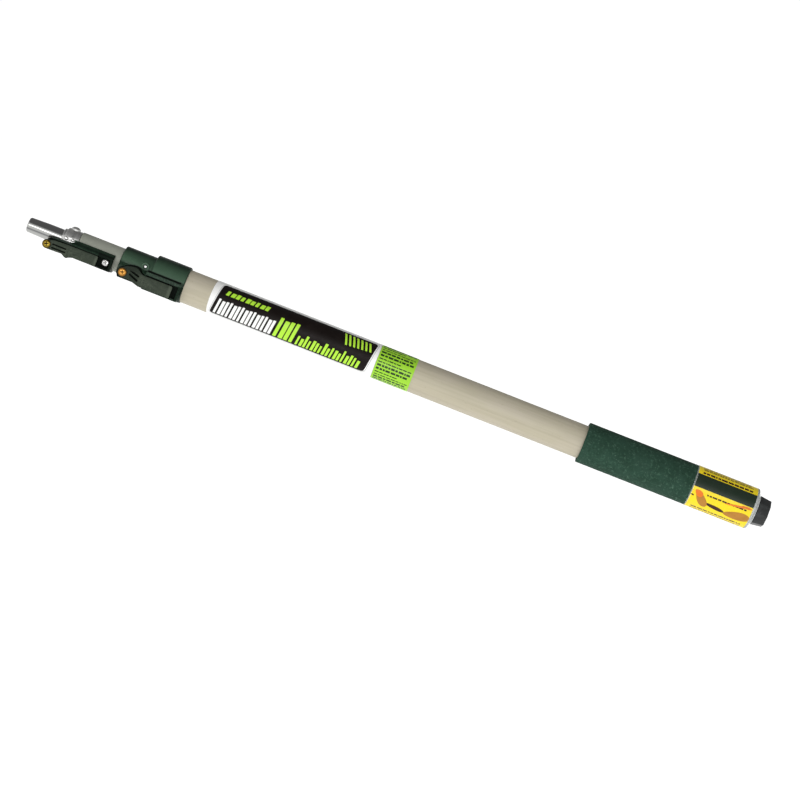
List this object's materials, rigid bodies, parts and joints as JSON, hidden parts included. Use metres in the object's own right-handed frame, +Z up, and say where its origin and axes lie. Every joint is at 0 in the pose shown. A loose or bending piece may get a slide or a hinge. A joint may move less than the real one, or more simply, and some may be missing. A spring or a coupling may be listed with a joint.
{
  "type": "roller extension pole",
  "caption": "Telescoping extension pole for paint rollers with two flip-lever clamps, a tapered tool shaft with a push button, and a foam grip with an end plug.",
  "frame": {"origin": "centre of the flat end face of the butt plug, on the pole's axis", "axes": "+X along the pole out of the butt plug, so the tip points along -X; +Z up; both levers face -Y"},
  "size_m": [0.736, 0.0407, 0.0396],
  "materials": {
    "fibreglass": "smooth beige fibreglass tube, satin",
    "tube_paint": "taupe grey paint, satin",
    "green_plastic": "dark green moulded plastic, fine texture",
    "lever_plastic": "grey-green moulded plastic, fine texture",
    "grip_foam": "dark green closed-cell grip foam, matte",
    "black_plastic": "black moulded plastic, satin",
    "bush_plastic": "natural white acetal, satin",
    "label_white": "glossy printed wrap label",
    "label_lime": "glossy printed wrap label",
    "label_yellow": "glossy printed wrap label under clear film",
    "steel": "polished plated steel",
    "cast_metal": "die-cast metal, satin",
    "brass": "brass-plated screw, light wear"
  },
  "bodies": {
    "outer_pole": {"outer_tube": "fibreglass", "main_label": "label_white", "instruction_label": "label_lime", "grip_sleeve": "grip_foam", "grip_label": "label_yellow", "butt_plug": "black_plastic", "lock_body": "green_plastic", "lock_insert": "brass", "lock_guide_bush": "bush_plastic", "lock_bush_pin": "steel"},
    "lock_lever": {"lock_lever": "lever_plastic", "lock_screw": "brass"},
    "lock_shoe": {"lock_brake_shoe": "bush_plastic"},
    "inner_pole": {"inner_tube": "tube_paint", "inner_rear_bush": "bush_plastic", "inner_bush_rivet": "steel", "tip_socket": "cast_metal", "tip_shaft": "steel", "socket_pin_front": "steel", "socket_pin_rear": "steel", "button_spring": "steel", "tip_lock_body": "green_plastic", "tip_lock_insert": "brass", "tip_body_screw": "steel"},
    "tip_lever": {"tip_lock_lever": "lever_plastic", "tip_lock_screw": "brass"},
    "tip_shoe": {"tip_brake_shoe": "bush_plastic"},
    "button": {"release_button": "cast_metal"}
  },
  "joints": [
    {"name": "pole_extend", "type": "slide", "parent": "outer_pole", "child": "inner_pole", "axis": [-1, 0, 0], "range_m": [0, 0.483]},
    {"name": "lock_lever_swing", "type": "hinge", "parent": "outer_pole", "child": "lock_lever", "pos_m": [-0.6361, -0.018, -0.0086], "axis": [0, 1, 0], "range_deg": [0, 90]},
    {"name": "lock_shoe_travel", "type": "slide", "parent": "outer_pole", "child": "lock_shoe", "axis": [0, -1, 0], "range_m": [0, 0.00025]},
    {"name": "tip_lever_swing", "type": "hinge", "parent": "inner_pole", "child": "tip_lever", "pos_m": [-0.7108, -0.018, -0.0098], "axis": [0, 1, 0], "range_deg": [0, 100]},
    {"name": "tip_shoe_travel", "type": "slide", "parent": "inner_pole", "child": "tip_shoe", "axis": [0, -1, 0], "range_m": [0, 0.00025]},
    {"name": "button_press", "type": "slide", "parent": "inner_pole", "child": "button", "axis": [0, 0, -1], "range_m": [0, 0.0028], "stiffness_N_per_m": 1200, "springref_m": -0.001, "deforming": ["button_spring"]}
  ],
  "couplings": [
    {"joint": "lock_shoe_travel", "follows": "lock_lever_swing", "m_per_rad": 0.000159},
    {"joint": "tip_shoe_travel", "follows": "tip_lever_swing", "m_per_rad": 0.000143}
  ]
}
